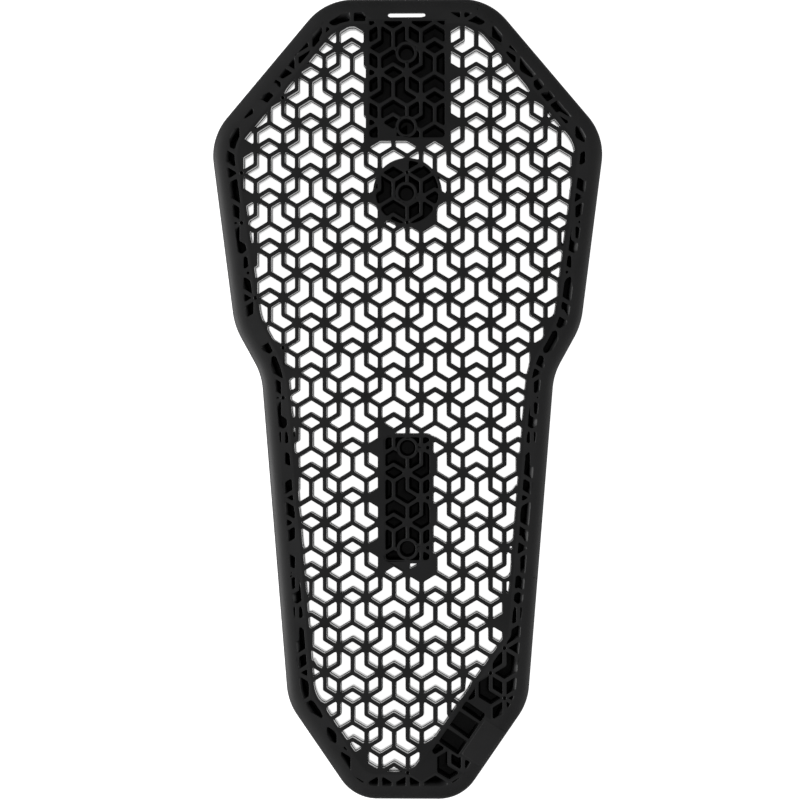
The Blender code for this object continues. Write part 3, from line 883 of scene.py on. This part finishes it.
class PAD_OT_rim(Operator):
    """Flange with a rolled edge, the skirt behind it and the groove of blind pockets."""

    bl_idname = "pad.rim"
    bl_label = "Rim"

    def execute(self, context):
        made = the_plan(context)
        pad, plan, high = made.pad, made.plan, made.high
        surface = Surface()
        inside = made.cells["rim"]
        add_cells(surface, made, inside)
        add_cells(surface, made, made.label_cells, least=pad.length)
        low = high - pad.flange_thickness
        # The tones rise under the flange and down the skirt, which paints them slightly darker, as shade
        profile = (
            (pad.flange, high, 0.0), (5.8 * MM, high - 0.05 * MM, 0.0), (4.5 * MM, high - 0.19 * MM, 0.0),
            (3.2 * MM, high - 0.42 * MM, 0.0), (2.1 * MM, high - 0.73 * MM, 0.05),
            (1.2 * MM, high - 1.08 * MM, 0.05), (0.55 * MM, high - 1.45 * MM, 0.1),
            (0.15 * MM, high - 1.85 * MM, 0.1), (0, high - 2.2 * MM, 0.1),
            (0.12 * MM, low + 0.32 * MM, 0.2), (0.4 * MM, low + 0.08 * MM, 0.3),
            (0.9 * MM, low, 0.4), (pad.lip - 0.5 * MM, low, 0.5),
        )
        skirt = (
            (pad.lip + 0.1 * MM, low - 0.6 * MM, 0.4), (pad.lip + pad.skirt_run - 0.6 * MM, 0.9 * MM, 0.4),
            (pad.lip + pad.skirt_run, 0, 0.6),
        )
        lines = plan.real & made.on_flange[plan.loops] & made.on_flange[plan.after]
        lines &= plan.within(made.flange_line)[:, None]
        start, end = plan.loops[lines], plan.after[lines]
        behind = (abs(plan.places[:, 0]) < made.tab_reach) & (plan.places[:, 1] > 0.4 * pad.length)
        free = behind[start] & behind[end]
        rings, skirts = (
            [
                lifted(plan.places + made.outwards * (pad.flange - inset), height, tone)
                for inset, height, tone in part
            ]
            for part in (profile, (profile[-1], *skirt))
        )
        for upper, lower in zip(rings, rings[1:]):
            surface.add(upper[start], lower[start], lower[end], upper[end])
        for upper, lower in zip(skirts, skirts[1:]):
            surface.add(upper[start[~free]], lower[start[~free]], lower[end[~free]], upper[end[~free]])
        line = lifted(plan.places, low, 0.5)
        surface.add(rings[-1][start[free]], line[start[free]], line[end[free]], rings[-1][end[free]])
        for ends, others in ((start, end), (end, start)):
            brink = ends[free][~np.isin(ends[free], others[free])]
            for upper, lower in zip(skirts, skirts[1:]):
                fan = (line[brink], upper[brink], lower[brink])
                surface.add(*(fan if ends is end else fan[::-1]))
        count = len(plan.places)
        taken = (inside | made.label_cells)[:, None] & lines
        mine = plan.loops[taken] * count + plan.after[taken]
        bare = ~np.isin(start * count + end, mine)
        for chosen, foot in ((bare & ~free, skirts[-1]), (bare & free, line)):
            first, last = start[chosen], end[chosen]
            surface.add(rings[0][first], rings[0][last], foot[last], foot[first])
        close_sides(surface, made, inside | made.label_cells, open_flange=True)
        finish = context.scene.pad_finishes
        piece = surface.build("pad_rim", elastomer("rim_elastomer", finish.rim, 0.50, 0.05 * MM, 2300.0))
        settle(piece, "rim")
        return {"FINISHED"}


class PAD_OT_core(Operator):
    """The window's lattice of ribs, with a gap through every cell."""

    bl_idname = "pad.core"
    bl_label = "Lattice core"

    def execute(self, context):
        made = the_plan(context)
        surface = Surface()
        inside = made.cells["lattice_core"]
        add_cells(surface, made, inside, blind=False)
        close_sides(surface, made, inside)
        finish = context.scene.pad_finishes
        piece = surface.build("pad_core", elastomer("core_elastomer", finish.core, 0.40, 0.02 * MM, 3000.0))
        settle(piece, "lattice_core")
        return {"FINISHED"}


class PAD_OT_panels(Operator):
    """The framed panels, the hub's plate and the blind corner beside the label."""

    bl_idname = "pad.panels"
    bl_label = "Panels"

    def execute(self, context):
        made = the_plan(context)
        finish = context.scene.pad_finishes
        look = elastomer("panel_elastomer", finish.panel, 0.42, 0.02 * MM, 3000.0)
        for node in ("top_panel", "lower_panel", "hub_plate", "corner_panel"):
            surface = Surface()
            inside = made.cells[node]
            add_cells(surface, made, inside, trim=made.panels.trim)
            close_sides(surface, made, inside)
            settle(surface.build("pad_" + node, look), node)
        return {"FINISHED"}


class PAD_OT_bosses(Operator):
    """Round bosses with a blind bore, one lathe profile each."""

    bl_idname = "pad.bosses"
    bl_label = "Ring bosses"

    def execute(self, context):
        made = the_plan(context)
        high, floor = made.high, made.pad.floor
        finish = context.scene.pad_finishes
        look = elastomer("boss_elastomer", finish.core, 0.38, 0.02 * MM, 3000.0)
        for node, centre in made.bosses.items():
            out, bore = made.panels.boss_radius - 0.01 * MM, made.panels.boss_bore
            surface = Surface()
            # The bore's tones of 0.8 and 0.9 paint shade down it and on its floor
            revolve(surface, centre, (
                (0.001 * MM, floor - 1 * MM, 1.0), (out, floor - 1 * MM, 1.0), (out, high - 0.02 * MM, 0.0),
                (out - 0.3 * MM, high, 0.0), (bore + 0.35 * MM, high, 0.0),
                (bore + 0.1 * MM, high - 0.08 * MM, 0.1), (bore, high - 0.35 * MM, 0.2),
                (bore - 0.25 * MM, floor + 1.2 * MM, 0.8), (bore - 0.6 * MM, floor + 0.4 * MM, 0.9),
                (bore - 1.2 * MM, floor + 0.2 * MM, 0.9), (0.001 * MM, floor + 0.2 * MM, 0.9),
            ))
            settle(surface.build("pad_" + node, look), node)
        return {"FINISHED"}


class PAD_OT_tab(Operator):
    """The thin tab at the neck end, with its hanging slot."""

    bl_idname = "pad.tab"
    bl_label = "Hanging tab"

    def execute(self, context):
        made = the_plan(context)
        high = made.high
        low = high - made.pad.flange_thickness
        cell = np.where(made.plan.within(made.tab), made.plan.area, 0).argmax()
        edge = made.plan.places[made.plan.loops[cell, :made.plan.counts[cell]]]
        half, radius = 9.2 * MM, 1.1 * MM
        middle = np.array((-0.2 * MM, made.pad.length / 2 - 9.1 * MM))

        def slot_ring(reach):
            """Where the spokes to the tab's edge leave a slot: a box rounded by its radius."""
            spokes = edge - middle
            low_share, high_share = np.zeros(len(edge)), np.ones(len(edge))
            for _ in range(24):
                share = (low_share + high_share) / 2
                point = spokes * share[:, None]
                past = np.maximum(abs(point[:, 0]) - half, 0)
                inside = np.hypot(past, point[:, 1]) < radius + reach
                low_share = np.where(inside, share, low_share)
                high_share = np.where(inside, high_share, share)
            return middle + spokes * low_share[:, None]

        surface = Surface()
        surface.rings([ring[None] for ring in (
            lifted(edge, low, REAR), lifted(edge, high, FRONT), lifted(slot_ring(0.4 * MM), high, FRONT),
            lifted(slot_ring(0.1 * MM), high - 0.1 * MM, EDGE), lifted(slot_ring(0), high - 0.4 * MM, WALL),
            lifted(slot_ring(0), low, WALL), lifted(edge, low, REAR),
        )])
        finish = context.scene.pad_finishes
        piece = surface.build("pad_tab", elastomer("tab_elastomer", finish.rim, 0.45, 0.03 * MM, 2600.0))
        settle(piece, "hanger_tab")
        return {"FINISHED"}


class PAD_OT_label(Operator):
    """The bare pad where a label would stand: a low plate with a rounded edge."""

    bl_idname = "pad.label"
    bl_label = "Label pad"

    def execute(self, context):
        made = the_plan(context)
        high = made.high
        surface = Surface()

        def loop(shrink):
            box = label_box(
                made.pad, 20.6 * MM + shrink, 44.2 * MM - shrink, 1.4 * MM + shrink, 14.2 * MM - shrink
            )
            return rounded_path(box, max(0.9 * MM - shrink, 0.1 * MM), 1.5 * MM)

        base = loop(0)
        middle = base.mean(0) + 0 * base
        rings = [lifted(middle, high - 1.2 * MM, REAR), lifted(base, high - 1.2 * MM, REAR)]
        for shrink, height in ((0, 0.04), (0.12, 0.16), (0.35, 0.2), (0.6, 0.17), (0.8, 0.12)):
            inner = middle + (base - middle) * (1 - shrink * MM / (6.4 * MM))
            rings.append(lifted(inner, high + height * MM, EDGE))
        rings.append(lifted(middle, high + 0.12 * MM, FRONT))
        surface.rings([ring[None] for ring in rings])
        finish = context.scene.pad_finishes
        piece = surface.build("pad_label", elastomer("label_elastomer", finish.rim, 0.55, 0.04 * MM, 2300.0))
        settle(piece, "label_pad")
        return {"FINISHED"}


class PAD_OT_pins(Operator):
    """Small round pin marks at some hubs: a cup with a low lip."""

    bl_idname = "pad.pins"
    bl_label = "Pin marks"

    def execute(self, context):
        made = the_plan(context)
        high = made.high
        surface = Surface()
        for place in made.pins:
            # Tones of 0.9 and 1.0 inside the cup paint shade in it
            revolve(surface, place, (
                (0.001 * MM, high - 6 * MM, 1.0), (1.21 * MM, high - 6 * MM, 1.0), (1.21 * MM, high, 0.1),
                (1.1 * MM, high + 0.05 * MM, 0.1), (1.0 * MM, high, 0.3), (0.92 * MM, high - 0.5 * MM, 0.9),
                (0.85 * MM, high - 5 * MM, 1.0), (0.001 * MM, high - 5 * MM, 1.0),
            ), 16)
        finish = context.scene.pad_finishes
        piece = surface.build("pad_pins", elastomer("pin_elastomer", finish.core, 0.4, 0.02 * MM, 3000.0))
        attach(piece, "root")
        return {"FINISHED"}


class PAD_OT_stage(Operator):
    """Pale floor, soft lights and the camera at the photograph's angle."""

    bl_idname = "pad.stage"
    bl_label = "Stage"

    def execute(self, context):
        scene = context.scene
        side = 3.0
        corners = np.array([(-side, -side), (side, -side), (side, side), (-side, side)])
        surface = Surface()
        surface.add(*(lifted(corner[None], -0.2 * MM, 0.0) for corner in corners))
        floor = surface.build("stage_floor", stage_floor("stage_floor", scene.pad_finishes.floor))
        world = bpy.data.worlds.new("studio")
        world.use_nodes = True
        world.node_tree.nodes["Background"].inputs["Color"].default_value = (1, 1, 1, 1)
        world.node_tree.nodes["Background"].inputs["Strength"].default_value = 0.16
        scene.world = world
        for name, place, width, power in (
            ("left_softbox", (-1.25, -0.15, 0.75), 0.8, 17.0),
            ("right_softbox", (1.2, -0.2, 0.7), 0.6, 4.0),
        ):
            light = bpy.data.lights.new(name, "AREA")
            light.shape, light.size, light.energy = "SQUARE", width, power
            lamp = bpy.data.objects.new(name, light)
            lamp.location = place
            lamp.rotation_euler = (-Vector(place)).to_track_quat("-Z", "Y").to_euler()
            scene.collection.objects.link(lamp)
        picture, away = 442.4 * MM, 1.4
        camera = bpy.data.cameras.new("camera")
        camera.sensor_width = 36
        camera.lens = camera.sensor_width * away / picture
        camera.shift_x, camera.shift_y = 0.0056, -0.0016
        eye = bpy.data.objects.new("camera", camera)
        eye.location = (35 * MM, 4 * MM, away + scene.pad_sizes.thickness)
        eye.rotation_euler = (math.radians(-0.154), math.radians(1.7), math.radians(-0.057))
        scene.collection.objects.link(eye)
        scene.camera = eye
        scene.view_settings.view_transform = "Standard"
        return {"FINISHED"}


STEPS = (
    PAD_OT_rim, PAD_OT_core, PAD_OT_panels, PAD_OT_bosses, PAD_OT_tab, PAD_OT_label, PAD_OT_pins,
    PAD_OT_stage,
)
GROUPS = {
    "pad_sizes": PadSizes, "lattice_sizes": LatticeSizes, "panel_sizes": PanelSizes,
    "pad_finishes": Finishes,
}


class PAD_PT_panel(Panel):
    """Lists the sizes, the colours and the steps."""

    bl_idname = "PAD_PT_panel"
    bl_label = "Back protector insert"
    bl_space_type = "VIEW_3D"
    bl_region_type = "UI"
    bl_category = "Pad"

    def draw(self, context):
        for name, group in GROUPS.items():
            box = self.layout.box()
            box.label(text=group.__doc__)
            for item in group.__annotations__:
                box.prop(getattr(context.scene, name), item)
        for step in STEPS:
            self.layout.operator(step.bl_idname)


def register():
    for made in (*GROUPS.values(), *STEPS, PAD_PT_panel):
        bpy.utils.register_class(made)
    for name, group in GROUPS.items():
        setattr(bpy.types.Scene, name, PointerProperty(type=group))


def unregister():
    for name in GROUPS:
        delattr(bpy.types.Scene, name)
    for made in (PAD_PT_panel, *STEPS[::-1], *GROUPS.values()):
        bpy.utils.unregister_class(made)


def main():
    for name in ("Cube", "Light", "Camera"):
        if name in bpy.data.objects:
            bpy.data.objects.remove(bpy.data.objects[name])
    register()
    for step in STEPS:
        family, name = step.bl_idname.split(".")
        getattr(getattr(bpy.ops, family), name)()


if __name__ == "__main__":
    main()
